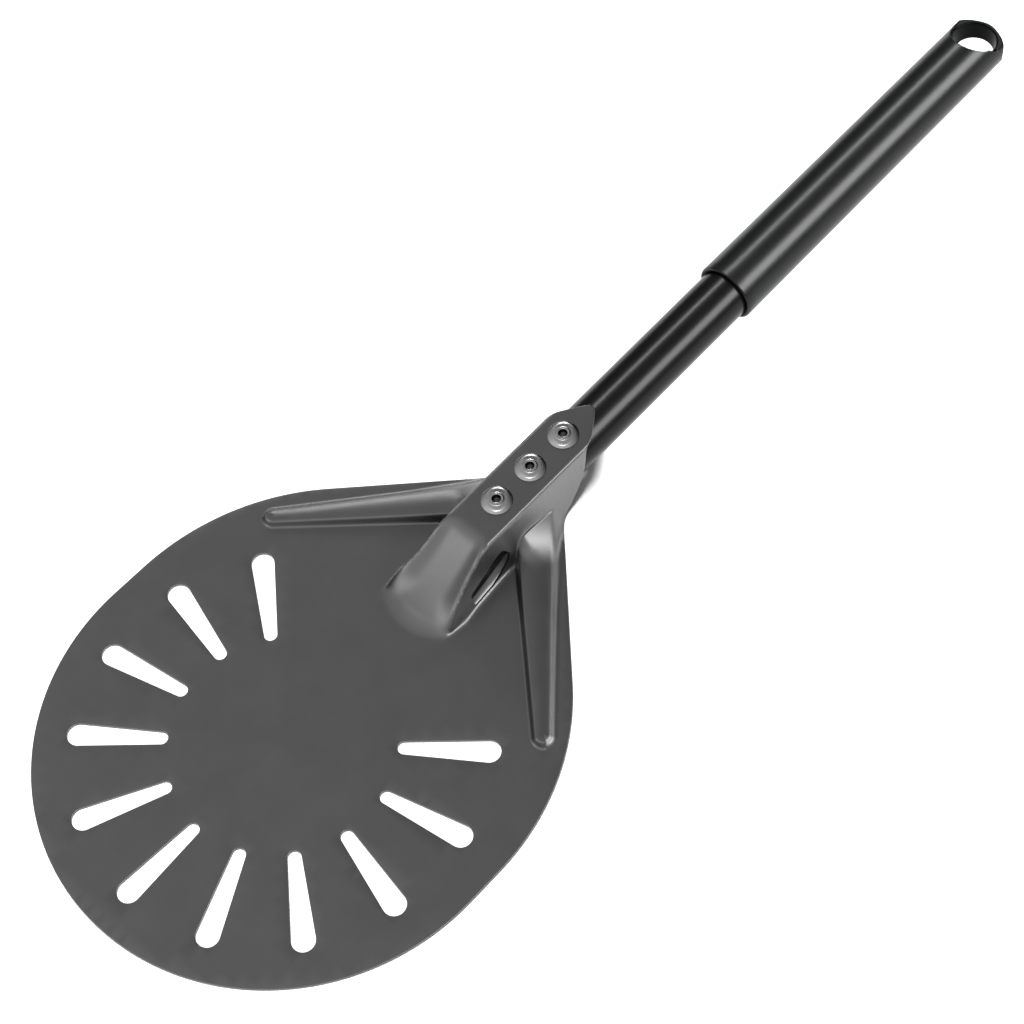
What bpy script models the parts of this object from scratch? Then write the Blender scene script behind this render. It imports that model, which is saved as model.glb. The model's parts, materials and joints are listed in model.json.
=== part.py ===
"""Perforated turning peel for pizza: a pressed aluminium blade on a riveted tube handle with a grip sleeve.

Frame: metres, +Z up. The origin is the centre of the round blade on its flat underside, the
handle runs towards +Y and rises slightly, and the object is symmetric about the plane X = 0.
"""

import math

import bmesh
import bpy
from mathutils import Matrix, Vector
from mathutils.geometry import delaunay_2d_cdt

# ---- Sheet and outline of the blade ------------------------------------------------------------
SHEET = 0.0012  # thickness of the pressed sheet
BLADE_R = 0.115  # front arc of the outline
BLADE_Y = 0.0015  # its centre
SIDE_Y = 0.020  # where the straight side ends
SHOULDER_R = 0.1236  # arc from the side into the 45 degree shoulder
SHOULDER_SUM = 0.1864  # the shoulder is the line |x| + y = SHOULDER_SUM
NECK_TAIL = (  # half outline from the shoulder to the tip of the channel, (x, y)
    (0.0262, 0.1602),
    (0.0202, 0.1666),
    (0.0176, 0.1712),
    (0.0166, 0.1764),
    (0.0153, 0.1834),
    (0.0142, 0.1880),
    (0.0128, 0.1928),
    (0.0114, 0.1966),
    (0.0098, 0.1994),
    (0.0048, 0.2066),
    (0.0018, 0.2103),
    (0.0, 0.2108),
)

# ---- Perforation: teardrop slots on a circle ---------------------------------------------------
SLOT_PLACES = 14  # equal places round the circle
SLOT_COUNT = 11  # used places, centred on the front
SLOT_IN = 0.0523  # radius of the slots' inner tips
SLOT_OUT = 0.0989  # radius of their outer tips
SLOT_NARROW_R = 0.0031
SLOT_WIDE_R = 0.0054

# ---- Handle axis: through (0, 0, AXIS_Z), rising towards +Y ------------------------------------
AXIS_Z = 0.01015
AXIS_TILT = math.atan(0.0275)
TUBE_R = 0.0132
TUBE_WALL = 0.0013
TUBE_END = 0.4650
MITRE_MIDDLE = 0.1130  # where the sloping front end crosses the axis
MITRE_SLOPE = 1.288  # distance along the axis per unit of height on that end
MITRE_FADE = 0.0280  # how far behind the front end the stations are square to the axis again
PRESSED_END = 0.1160  # in front of this the tube is pressed to the channel's shape
ROUND_START = 0.1460  # behind this it is round
PRESSED_HALF = 0.0145  # half width of the pressed section at its middle height
PRESSED_LEAN = 0.0031  # how much wider it is at the bottom and narrower at the top
PRESSED_HALF_HEIGHT = 0.0070
PRESSED_SHIFT = -0.0057  # height of its middle from the axis
PRESSED_POWER = 6.0  # power of its superellipse
PRESS_ROWS = 11  # stations between the front end and ROUND_START
TUBE_PLACES = tuple(
    MITRE_MIDDLE + (ROUND_START - MITRE_MIDDLE) * i / PRESS_ROWS for i in range(PRESS_ROWS + 1)
) + (TUBE_END,)
FIT = 0.0003  # gap between touching pieces

# ---- Channel and scoop, pressed over the tube --------------------------------------------------
CHANNEL_TOP = TUBE_R + FIT + SHEET  # height of the channel's flat top above the handle axis
CHANNEL_HALF = 0.0123  # half width of the top, to the sharp corner
CHANNEL_BASE = 0.0180  # half width where the flanks reach the blade
CREASE_R = 0.0030  # rounding between a flank and the flat blade
CREASE_SHARE = 0.35  # the rounding never takes more than this share of the flank
SCOOP_FRONT = 0.0745  # front edge of the scoop
SCOOP_WIDEST = 0.0980
SCOOP_HALF = 0.0215  # half width of its base there
SCOOP_BACK = 0.1380  # where the base has narrowed to the channel's
RAMP_START = 0.0770
RAMP_POWER = 1.34  # the ramp rises as RAMP_GAIN * (y - RAMP_START) ** RAMP_POWER, in mm
RAMP_GAIN = 0.154
RAMP_BLEND = 0.0015  # half width of the rounding where the ramp meets the flat top
SCOOP_SPREAD = 0.0035  # how much wider the top is at the front of the scoop
SCOOP_SPREAD_Y = (0.0860, 0.1320)  # where that widening starts and ends
TOP_SHARE = 0.86  # the top is never wider than this share of the base

# Side opening through both flanks of the scoop, as (y, z) corners
SIDE_OPENING = (
    (0.1086, 0.0026),
    (0.1074, 0.0032),
    (0.1070, 0.0052),
    (0.1073, 0.0078),
    (0.1086, 0.0088),
    (0.1186, 0.0114),
    (0.1290, 0.0150),
    (0.1316, 0.0151),
    (0.1336, 0.0128),
    (0.1354, 0.0094),
    (0.1340, 0.0068),
    (0.1305, 0.0048),
    (0.1260, 0.0032),
    (0.1214, 0.0026),
)
SIDE_OPENING_HALF = 0.0193  # the cutter reaches this far to either side

# ---- Ribs: s runs along a rib towards its far end, w across it, outwards ------------------------
RIB_DIRECTION = Vector((0.7345, -0.6786))
RIB_ACROSS = Vector((0.6786, 0.7345))
RIB_INNER = 0.1109  # w of the inner base line
RIB_INNER_RUN = 0.0027
RIB_CREST = 0.1205  # w of the outer crest at s = 0
RIB_OUTER = 0.1249  # w of the outer base at s = 0
RIB_SPREAD = 0.1025  # both move outwards by this share of -s
RIB_END_S = 0.0100  # centre of the round end
RIB_ROOT_S = -0.0980
RIB_LOW = 0.0030  # height at the far end
RIB_HIGH = 0.0097  # height where the rib runs into the channel
RIB_CLIMB = 1.3  # power of the climb from one to the other

# ---- Rivets --------------------------------------------------------------------------------------
RIVET_Y = (0.1450, 0.1678, 0.1906)  # along the handle axis
RIVET_HOLE_R = 0.0033
DRILL_LENGTH = 2 * TUBE_R
DRILL_HEIGHT = 1.5 * TUBE_R  # height of the drill's middle, so that only the upper wall is cut
RIVET_SHANK_R = 0.0030
RIVET_BORE_R = 0.0021
RIVET_SEAT = 0.0001  # gap under the flange
FLANGE_R = 0.0076
FLANGE_RIM = 0.0005
COLLAR_R = 0.0032
COLLAR_TOP = 0.0022
BLIND_R = 0.0040
BLIND_TOP = 0.0110  # top of the blind bulb above the handle axis
BLIND_BOTTOM = 0.0080
MANDREL_R = 0.0018
MANDREL_TOP = 0.0158  # broken end, above the handle axis
MANDREL_HEAD_R = 0.0027
MANDREL_BOTTOM = 0.0054
EDGE = 0.0005  # small bevels on the rivets

# ---- Grip sleeve ---------------------------------------------------------------------------------
GRIP_START = 0.3070
GRIP_FRONT_R = 0.0156
GRIP_REAR_R = 0.01505
GRIP_LIP = 0.0006  # bevel at its open end
GRIP_LIP_BOW = 0.3  # share of the bevel by which its middle stands proud of a straight cut
GRIP_BORE_R = TUBE_R + FIT
GRIP_BORE_END = 0.4660
GRIP_END_Y = 0.5091  # where the rounded end begins in plan
GRIP_END_LENGTH = 0.0095
GRIP_END_POWER = 1.5  # power of the end's superellipse
GRIP_SPARE = 0.0019  # turned stock beyond the end, cut off with the rounding
TAB_HALF = 0.0057  # half thickness of the flat tab at the end
TOP_CUT_Y = (0.5010, 0.5085)  # the hollow that runs down to the tab's upper face
BOTTOM_CUT_Y = (0.4700, 0.4860)
HANG_Y = 0.5064  # hanging hole: centre and radius at the tab's lower face
HANG_R = 0.0100
HANG_FLARE = 0.12  # its radius grows upwards at this slope, with its far side kept upright
HANG_DEPTH = 0.0400  # how far its cutter reaches above and below that face

SEGMENTS = 48
SMALL_SEGMENTS = 24
ARC_STEP = math.radians(7.5)
REACH = 0.060  # how far cutters run past the piece they cut
SHARP = math.radians(30)
MERGE = 0.00001
CLEAR_OF_EDGE = 0.0006  # relief points keep this far from the outline and the rivet holes
CLEAR_OF_POINT = 0.00035  # and this far from one another
CHANNEL_ROW_STEPS = (0.0008, 0.0030, 0.0065, 0.0105, 0.0150)  # first places behind the scoop's front
CHANNEL_ROW_END = 0.2085
CHANNEL_ROW_COUNT = 27
RIB_ROW_COUNT = 16

# Local XY of a cutter's outline onto the YZ plane, extruded along X
ONTO_YZ = Matrix(((0, 0, 1, 0), (1, 0, 0, 0), (0, 1, 0, 0), (0, 0, 0, 1)))

ANODISED_GREY = (0.100, 0.100, 0.102, 1.0)
SATIN_BLACK = (0.016, 0.016, 0.017, 1.0)
GRIP_BLACK = (0.013, 0.015, 0.014, 1.0)
BRIGHT_METAL = (0.620, 0.620, 0.610, 1.0)
DARK_STEEL = (0.200, 0.200, 0.200, 1.0)


# ---- Scene helpers -------------------------------------------------------------------------------


def clear_scene():
    for obj in list(bpy.data.objects):
        bpy.data.objects.remove(obj, do_unlink=True)


def new_collection(name):
    collection = bpy.data.collections.new(name)
    bpy.context.scene.collection.children.link(collection)
    return collection


def material(name, colour, roughness, metallic):
    made = bpy.data.materials.new(name)
    made.use_nodes = True
    shader = made.node_tree.nodes["Principled BSDF"]
    shader.inputs["Base Color"].default_value = colour
    shader.inputs["Roughness"].default_value = roughness
    shader.inputs["Metallic"].default_value = metallic
    return made


def add_object(name, data, collection, parent=None):
    obj = bpy.data.objects.new(name, data)
    collection.objects.link(obj)
    obj.parent = parent
    return obj


def add_cutter(name, data, parent=None):
    obj = add_object(name, data, cutters, parent)
    obj.hide_render = True
    obj.display_type = "WIRE"
    return obj


def cut(obj, cutter, operation="DIFFERENCE"):
    modifier = obj.modifiers.new(cutter.name, "BOOLEAN")
    modifier.operation = operation
    modifier.object = cutter
    modifier.solver = "EXACT"


def finish(obj, surface):
    obj.data.materials.append(surface)
    obj.data.shade_smooth()
    obj.data.set_sharp_from_angle(angle=SHARP)


def arc(centre_x, centre_y, radius, start, end):
    """Points from angle start to angle end, both included, at most ARC_STEP apart."""
    steps = max(2, math.ceil(abs(end - start) / ARC_STEP))
    angles = [start + (end - start) * i / steps for i in range(steps + 1)]
    return [(centre_x + radius * math.cos(a), centre_y + radius * math.sin(a)) for a in angles]


def prism(name, outline, half_depth):
    """A closed outline in its own XY plane, extruded both ways along Z, as a mesh."""
    curve = bpy.data.curves.new(name, "CURVE")
    curve.dimensions = "2D"
    curve.fill_mode = "BOTH"
    curve.extrude = half_depth
    spline = curve.splines.new("POLY")
    spline.points.add(len(outline) - 1)
    for point, (x, y) in zip(spline.points, outline):
        point.co = (x, y, 0, 1)
    spline.use_cyclic_u = True
    source = bpy.data.objects.new(name, curve)
    cutters.objects.link(source)
    graph = bpy.context.evaluated_depsgraph_get()
    mesh = bpy.data.meshes.new_from_object(source.evaluated_get(graph))
    bpy.data.objects.remove(source)
    cleaned = bmesh.new()
    cleaned.from_mesh(mesh)
    bmesh.ops.remove_doubles(cleaned, verts=cleaned.verts, dist=MERGE)
    bmesh.ops.recalc_face_normals(cleaned, faces=cleaned.faces)
    cleaned.to_mesh(mesh)
    cleaned.free()
    return mesh


def cylinder(name, radius, depth, segments, top_radius=None):
    """A capped cylinder or cone along Z, centred on its origin."""
    mesh = bpy.data.meshes.new(name)
    made = bmesh.new()
    bmesh.ops.create_cone(
        made,
        cap_ends=True,
        segments=segments,
        radius1=radius,
        radius2=top_radius or radius,
        depth=depth,
    )
    made.to_mesh(mesh)
    made.free()
    return mesh


def turned(name, profile, segments, collection, parent=None):
    """A profile of (radius, height) points, revolved about Z with a Screw modifier."""
    mesh = bpy.data.meshes.new(name)
    edges = [(i, i + 1) for i in range(len(profile) - 1)]
    if profile[0][0] > 0:
        edges.append((len(profile) - 1, 0))
    mesh.from_pydata([(r, 0, z) for r, z in profile], edges, [])
    obj = add_object(name, mesh, collection, parent)
    screw = obj.modifiers.new("turn", "SCREW")
    screw.steps = segments
    screw.render_steps = segments
    screw.use_merge_vertices = True
    screw.merge_threshold = MERGE
    return obj


# ---- Blade: plan outline -------------------------------------------------------------------------


def half_outline():
    """The blade's edge for x >= 0, from the front tip to the tip of the channel."""
    front = arc(0, BLADE_Y, BLADE_R, -math.pi / 2, 0)
    shoulder = arc(BLADE_R - SHOULDER_R, SIDE_Y, SHOULDER_R, 0, math.pi / 4)
    return front + shoulder + list(NECK_TAIL)


def outline():
    right = half_outline()
    left = [(-x, y) for x, y in reversed(right[1:-1])]
    return right + left


def slot(angle):
    """One teardrop along the given direction: two arcs joined by their common tangents."""
    near = SLOT_IN + SLOT_NARROW_R
    far = SLOT_OUT - SLOT_WIDE_R
    lean = math.acos((SLOT_NARROW_R - SLOT_WIDE_R) / (far - near))
    points = arc(far, 0, SLOT_WIDE_R, -lean, lean)
    points += arc(near, 0, SLOT_NARROW_R, lean, 2 * math.pi - lean)
    turn = Matrix.Rotation(angle, 2)
    return [tuple(turn @ Vector(p)) for p in points]


def slots():
    pitch = 2 * math.pi / SLOT_PLACES
    middle = (SLOT_COUNT - 1) / 2
    return [slot(-math.pi / 2 + (i - middle) * pitch) for i in range(SLOT_COUNT)]


def rivet_holes():
    """The holes in plan, moved with the tilt of the channel's top."""
    holes = []
    for along in RIVET_Y:
        y = along * math.cos(AXIS_TILT) - CHANNEL_TOP * math.sin(AXIS_TILT)
        holes.append(arc(0, y, RIVET_HOLE_R, 0, 2 * math.pi)[:-1])
    return holes


# ---- Blade: height of its upper face above the flat ----------------------------------------------


def smoothstep(low, high, value):
    t = min(1.0, max(0.0, (value - low) / (high - low)))
    return t * t * (3 - 2 * t)


def top_height(y):
    """Height of the middle of the scoop and channel above the flat upper face."""
    run = max(0.0, y - RAMP_START) * 1000
    ramp = RAMP_GAIN * run**RAMP_POWER / 1000
    flat = AXIS_Z + CHANNEL_TOP / math.cos(AXIS_TILT) + math.tan(AXIS_TILT) * y - SHEET
    overlap = max(0.0, RAMP_BLEND - abs(ramp - flat)) / RAMP_BLEND
    return min(ramp, flat) - overlap * overlap * RAMP_BLEND / 4


def base_half(y):
    """Half width of the scoop or channel where it meets the flat."""
    if y < SCOOP_WIDEST:
        share = (SCOOP_WIDEST - y) / (SCOOP_WIDEST - SCOOP_FRONT)
        return SCOOP_HALF * math.sqrt(max(0.0, 1 - share * share))
    return SCOOP_HALF - (SCOOP_HALF - CHANNEL_BASE) * smoothstep(SCOOP_WIDEST, SCOOP_BACK, y)


def corner_half(y):
    """Half width of the top, to the sharp corner that the crease rounds off."""
    widening = 1 - smoothstep(*SCOOP_SPREAD_Y, y)
    return min(CHANNEL_HALF + SCOOP_SPREAD * widening, TOP_SHARE * base_half(y))


def crease(y):
    """(start of the rounding, its radius, slope of the flank) at y."""
    height = top_height(y)
    run = base_half(y) - corner_half(y)
    angle = math.atan2(height, run)
    radius = min(CREASE_R, CREASE_SHARE * height / math.tan(angle / 2)) if height > 0 else 0.0
    return corner_half(y) - radius * math.tan(angle / 2), radius, angle


def channel_height(x, y):
    if y <= SCOOP_FRONT or x >= base_half(y):
        return 0.0
    height = top_height(y)
    start, radius, angle = crease(y)
    if x <= start:
        return height
    if x < start + radius * math.sin(angle):
        return height - radius + math.sqrt(radius**2 - (x - start) ** 2)
    return (base_half(y) - x) * math.tan(angle)


def rib_coordinates(x, y):
    point = Vector((x, y))
    return point.dot(RIB_DIRECTION), point.dot(RIB_ACROSS)


def from_rib(s, w):
    point = RIB_DIRECTION * s + RIB_ACROSS * w
    return point.x, point.y


def rib_lines(s):
    """w of the inner base, inner crest, outer crest and outer base at s."""
    spread = -RIB_SPREAD * min(s, RIB_END_S)
    return RIB_INNER, RIB_INNER + RIB_INNER_RUN, RIB_CREST + spread, RIB_OUTER + spread


def rib_height(x, y):
    s, w = rib_coordinates(x, y)
    inner, inner_crest, outer_crest, outer = rib_lines(s)
    if s > RIB_END_S:
        # The round end folds onto the section at its centre.
        middle = (inner + outer) / 2
        distance = math.hypot(s - RIB_END_S, w - middle)
        w = middle + math.copysign(distance, w - middle)
    if not inner < w < outer:
        return 0.0
    share = min(1.0, max(0.0, (s - RIB_END_S) / (RIB_ROOT_S - RIB_END_S)))
    crown = RIB_LOW + (RIB_HIGH - RIB_LOW) * share**RIB_CLIMB
    rise = min(1.0, (w - inner) / (inner_crest - inner), (outer - w) / (outer - outer_crest))
    return crown * math.sin(rise * math.pi / 2)


def height_at(x, y):
    x = abs(x)
    return max(channel_height(x, y), rib_height(x, y))


# ---- Blade: points that carry the relief ---------------------------------------------------------


def channel_rows():
    """Lines of points along the scoop and channel, for x >= 0."""
    rows = []
    for share in (0.0, 0.5, 1.0):
        rows.append([(share * crease(y)[0], y) for y in row_places()])
    for share in (0.5, 1.0):
        rows.append([(rounding(y, share), y) for y in row_places()])
    rows.append([((rounding(y, 1.0) + base_half(y)) / 2, y) for y in row_places()])
    rows.append([(base_half(y), y) for y in row_places()])
    return rows


def row_places():
    places = [SCOOP_FRONT + step for step in CHANNEL_ROW_STEPS]
    step = (CHANNEL_ROW_END - places[-1]) / CHANNEL_ROW_COUNT
    return places + [places[-1] + step * (i + 1) for i in range(CHANNEL_ROW_COUNT)]


def rounding(y, share):
    start, radius, angle = crease(y)
    return start + radius * math.sin(angle * share)


def rib_rows():
    """Lines of points along a rib and round its end, for x > 0."""
    step = (RIB_END_S - RIB_ROOT_S) / RIB_ROW_COUNT
    places = [RIB_ROOT_S + step * i for i in range(RIB_ROW_COUNT + 1)]
    rows = []
    for line in range(4):
        rows.append([from_rib(s, rib_lines(s)[line]) for s in places])
    rows.append([from_rib(s, (rib_lines(s)[1] + rib_lines(s)[2]) / 2) for s in places])
    for crest in (0, 1):
        lines = rib_lines(RIB_END_S)
        near, far = (lines[1], lines[2]) if crest else (lines[0], lines[3])
        middle = (lines[0] + lines[3]) / 2
        ring = arc(0, 0, (far - near) / 2, -math.pi / 2, math.pi / 2)
        rows.append([from_rib(RIB_END_S + s, middle + w) for s, w in ring[1:-1]])
    return rows


def inside(point, polygon):
    x, y = point
    odd = False
    for (x0, y0), (x1, y1) in zip(polygon, polygon[1:] + polygon[:1]):
        if (y0 > y) != (y1 > y) and x < x0 + (y - y0) * (x1 - x0) / (y1 - y0):
            odd = not odd
    return odd


def clearance(point, polygon):
    """Distance from a point to a polygon's edge."""
    here = Vector(point)
    nearest = math.inf
    for start, end in zip(polygon, polygon[1:] + polygon[:1]):
        start = Vector(start)
        along = Vector(end) - start
        share = min(1.0, max(0.0, (here - start).dot(along) / along.length_squared))
        nearest = min(nearest, (here - start - along * share).length)
    return nearest


def covered(row, x, y):
    """True where the channel rises over a point of a rib's row."""
    return row == "rib" and y > SCOOP_FRONT and abs(x) < base_half(y) + CLEAR_OF_POINT


def flat_sheet():
    """The blade's plan as one triangulated face layer, with an edge along every relief line."""
    edge = outline()
    holes = slots() + rivet_holes()
    points = []
    edges = []
    for loop in [edge] + holes:
        first = len(points)
        points += loop
        edges += [(first + i, first + (i + 1) % len(loop)) for i in range(len(loop))]
    bounds = [edge] + holes[SLOT_COUNT:]
    taken = list(points)
    rows = [("channel", row) for row in channel_rows()] + [("rib", row) for row in rib_rows()]
    for kind, row in rows:
        for side in (1, -1):
            previous = None
            for x, y in row:
                spot = (side * x, y)
                clear = inside(spot, edge) and not covered(kind, *spot)
                clear = clear and all(clearance(spot, loop) > CLEAR_OF_EDGE for loop in bounds)
                near = min(math.hypot(p[0] - spot[0], p[1] - spot[1]) for p in taken)
                if not clear or near < CLEAR_OF_POINT:
                    previous = None
                    continue
                points.append(spot)
                taken.append(spot)
                if previous is not None:
                    edges.append((previous, len(points) - 1))
                previous = len(points) - 1
    found = delaunay_2d_cdt([Vector(p) for p in points], edges, [], 0, 1e-6)
    corners, triangles = found[0], found[2]
    kept = []
    for triangle in triangles:
        middle = sum((corners[i] for i in triangle), Vector((0, 0))) / 3
        spot = (middle.x, middle.y)
        if inside(spot, edge) and not any(inside(spot, hole) for hole in holes):
            kept.append(triangle)
    return corners, kept


def make_blade():
    corners, triangles = flat_sheet()
    mesh = bpy.data.meshes.new("blade")
    mesh.from_pydata([(p.x, p.y, SHEET + height_at(p.x, p.y)) for p in corners], [], triangles)
    tidy = bmesh.new()
    tidy.from_mesh(mesh)
    loose = [v for v in tidy.verts if not v.link_faces]
    bmesh.ops.delete(tidy, geom=loose, context="VERTS")
    bmesh.ops.recalc_face_normals(tidy, faces=tidy.faces)
    if sum(f.normal.z for f in tidy.faces) < 0:
        bmesh.ops.reverse_faces(tidy, faces=tidy.faces)
    tidy.to_mesh(mesh)
    tidy.free()
    obj = add_object("blade", mesh, pizza_peel)
    solidify = obj.modifiers.new("sheet", "SOLIDIFY")
    solidify.thickness = SHEET
    solidify.offset = -1
    window = prism("side_opening_cutter", SIDE_OPENING, SIDE_OPENING_HALF)
    window.transform(ONTO_YZ)
    cut(obj, add_cutter("side_opening_cutter", window))
    finish(obj, material("anodised_grey", ANODISED_GREY, 0.45, 0.6))


# ---- Handle: everything below is built along local Z and turned onto the handle axis ---------------


def tube_section(along, inset):
    """(x, z) points of the tube's section: round, but pressed to the channel's shape in front."""
    pressed = 1 - smoothstep(PRESSED_END, ROUND_START, along)
    points = []
    for i in range(SEGMENTS):
        angle = 2 * math.pi * i / SEGMENTS
        x, z = math.sin(angle), math.cos(angle)
        wide = math.copysign(abs(x) ** (2 / PRESSED_POWER), x) * (PRESSED_HALF - PRESSED_LEAN * z)
        tall = math.copysign(abs(z) ** (2 / PRESSED_POWER), z) * PRESSED_HALF_HEIGHT
        x = TUBE_R * x * (1 - pressed) + wide * pressed
        z = TUBE_R * z * (1 - pressed) + tall * pressed
        keep = 1 - inset / math.hypot(x, z)
        points.append((x * keep, z * keep + PRESSED_SHIFT * pressed))
    return points


def tube_wall(tube, inset):
    """One wall of the tube as rings of vertices from the sloping front end to the square back."""
    rings = []
    for along in TUBE_PLACES:
        slope = MITRE_SLOPE * max(0.0, 1 - (along - MITRE_MIDDLE) / MITRE_FADE)
        section = tube_section(along, inset)
        rings.append([tube.verts.new((x, along + slope * z, z)) for x, z in section])
    return rings


def join_rings(made, near, far):
    for i, corner in enumerate(near):
        following = (i + 1) % len(near)
        made.faces.new((corner, near[following], far[following], far[i]))


def make_tube():
    made = bmesh.new()
    outer, inner = tube_wall(made, 0.0), tube_wall(made, TUBE_WALL)
    for rings in (outer, inner):
        for near, far in zip(rings, rings[1:]):
            join_rings(made, near, far)
    for place in (0, -1):
        join_rings(made, outer[place], inner[place])
    bmesh.ops.recalc_face_normals(made, faces=made.faces)
    mesh = bpy.data.meshes.new("handle_tube")
    made.to_mesh(mesh)
    made.free()
    obj = add_object("handle_tube", mesh, pizza_peel, handle_axis)
    for number, along in enumerate(RIVET_Y, 1):
        hole = cylinder(f"tube_hole_cutter_{number}", RIVET_HOLE_R, DRILL_LENGTH, SMALL_SEGMENTS)
        drill = add_cutter(hole.name, hole, handle_axis)
        drill.location = (0, along, DRILL_HEIGHT)
        cut(obj, drill)
    finish(obj, material("satin_black", SATIN_BLACK, 0.32, 0.3))


def make_rivets():
    """Flange, shank and blind bulb turned as one body, with the broken mandrel inside it."""
    seat = CHANNEL_TOP + RIVET_SEAT
    body = [
        (COLLAR_R - EDGE, seat + COLLAR_TOP),
        (COLLAR_R, seat + COLLAR_TOP - EDGE),
        (COLLAR_R + EDGE / 2, seat + COLLAR_TOP - 2 * EDGE),
        (FLANGE_R - EDGE, seat + FLANGE_RIM + EDGE / 2),
        (FLANGE_R, seat + FLANGE_RIM),
        (FLANGE_R, seat + FLANGE_RIM / 2),
        (FLANGE_R - EDGE, seat),
        (RIVET_SHANK_R, seat),
        (RIVET_SHANK_R, BLIND_TOP),
        (BLIND_R, BLIND_TOP - EDGE),
        (BLIND_R, BLIND_BOTTOM + EDGE),
        (RIVET_SHANK_R, BLIND_BOTTOM),
        (RIVET_BORE_R, BLIND_BOTTOM),
        (RIVET_BORE_R, seat + COLLAR_TOP - EDGE),
    ]
    pin = [
        (0.0, MANDREL_TOP),
        (MANDREL_R, MANDREL_TOP - EDGE),
        (MANDREL_R, BLIND_BOTTOM - FIT),
        (MANDREL_HEAD_R, BLIND_BOTTOM - 2 * FIT),
        (MANDREL_HEAD_R, MANDREL_BOTTOM + EDGE),
        (MANDREL_R, MANDREL_BOTTOM),
        (0.0, MANDREL_BOTTOM),
    ]
    bright = material("bright_metal", BRIGHT_METAL, 0.25, 1.0)
    dark = material("dark_steel", DARK_STEEL, 0.45, 1.0)
    for number, along in enumerate(RIVET_Y, 1):
        for name, profile, surface in (("rivet_body", body, bright), ("rivet_mandrel", pin, dark)):
            obj = turned(f"{name}_{number}", profile, SMALL_SEGMENTS, pizza_peel, handle_axis)
            obj.location = (0, along, 0)
            finish(obj, surface)


def grip_profile():
    """(radius, distance along the handle) from the closed end down the outside and up the bore."""
    past_end = GRIP_END_Y + GRIP_END_LENGTH + GRIP_SPARE
    return [
        (0.0, past_end),
        (GRIP_REAR_R, past_end),
        (GRIP_FRONT_R, GRIP_START + 2 * GRIP_LIP),
        (GRIP_FRONT_R - GRIP_LIP_BOW * GRIP_LIP, GRIP_START + GRIP_LIP_BOW * GRIP_LIP),
        (GRIP_FRONT_R - GRIP_LIP, GRIP_START),
        (GRIP_BORE_R, GRIP_START),
        (GRIP_BORE_R, GRIP_BORE_END),
        (0.0, GRIP_BORE_END),
    ]


def rounded_end():
    """Half outline of the sleeve's end in plan, from +X round to -X."""
    points = []
    for x, y in arc(0, 0, 1, 0, math.pi):
        across = math.copysign(abs(x) ** (2 / GRIP_END_POWER), x)
        points.append((GRIP_REAR_R * across, GRIP_END_Y + GRIP_END_LENGTH * y ** (2 / GRIP_END_POWER)))
    return points


def cut_to_tab(obj, name, places, side):
    """Cut the sleeve's end down to the tab, along a hollow that ends level with it."""
    start, end = places
    height = TAB_HALF
    rise = GRIP_FRONT_R - height
    run = end - start
    radius = (run * run + rise * rise) / (2 * rise)
    turn = math.asin(min(1.0, run / radius))
    hollow = arc(end, height + radius, radius, -math.pi / 2 - turn, -math.pi / 2)
    past = GRIP_END_Y + REACH
    mesh = prism(name, hollow + [(past, height), (past, REACH), (start, REACH)], REACH)
    mesh.transform(ONTO_YZ @ Matrix.Diagonal((1, side, 1, 1)))
    if side < 0:
        mesh.flip_normals()
    cut(obj, add_cutter(name, mesh, handle_axis))


def make_grip():
    obj = turned("grip_sleeve", grip_profile(), SEGMENTS, pizza_peel, handle_axis)
    obj.rotation_euler = (-math.pi / 2, 0, 0)

    front = GRIP_START - REACH
    side = GRIP_FRONT_R + FIT
    end_plan = [(side, front), (side, GRIP_END_Y - GRIP_END_LENGTH)]
    end_plan += rounded_end()
    end_plan += [(-side, GRIP_END_Y - GRIP_END_LENGTH), (-side, front)]
    rounding = add_cutter("grip_end_cutter", prism("grip_end_cutter", end_plan, REACH), handle_axis)
    cut(obj, rounding, "INTERSECT")

    below = HANG_R - HANG_FLARE * HANG_DEPTH
    above = HANG_R + HANG_FLARE * HANG_DEPTH
    hang_hole = cylinder("hang_hole_cutter", below, 2 * HANG_DEPTH, SEGMENTS, above)
    lean = Matrix.Identity(4)
    lean[1][2] = -HANG_FLARE
    hang_hole.transform(Matrix.Translation((0, HANG_Y, -TAB_HALF)) @ lean)
    cut(obj, add_cutter("hang_hole_cutter", hang_hole, handle_axis))

    cut_to_tab(obj, "tab_top_cutter", TOP_CUT_Y, 1)
    cut_to_tab(obj, "tab_bottom_cutter", BOTTOM_CUT_Y, -1)
    finish(obj, material("grip_black", GRIP_BLACK, 0.5, 0.0))


clear_scene()
pizza_peel = new_collection("pizza_peel")
cutters = new_collection("cutters")
handle_axis = add_object("handle_axis", None, pizza_peel)
handle_axis.location = (0, 0, AXIS_Z)
handle_axis.rotation_euler = (AXIS_TILT, 0, 0)
bpy.context.view_layer.update()
make_blade()
make_tube()
make_rivets()
make_grip()
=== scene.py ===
"""Perforated pizza turning peel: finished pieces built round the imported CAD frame.

Row frame, in metres: the origin is the blade's centre on its flat underside, +Y runs towards the
handle and +Z is up. Relief is worked out in millimetres above the blade's flat upper face.
"""

import json
import math

import bmesh
import bpy
import numpy as np
from mathutils import Matrix, Vector
from mathutils.geometry import delaunay_2d_cdt

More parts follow.
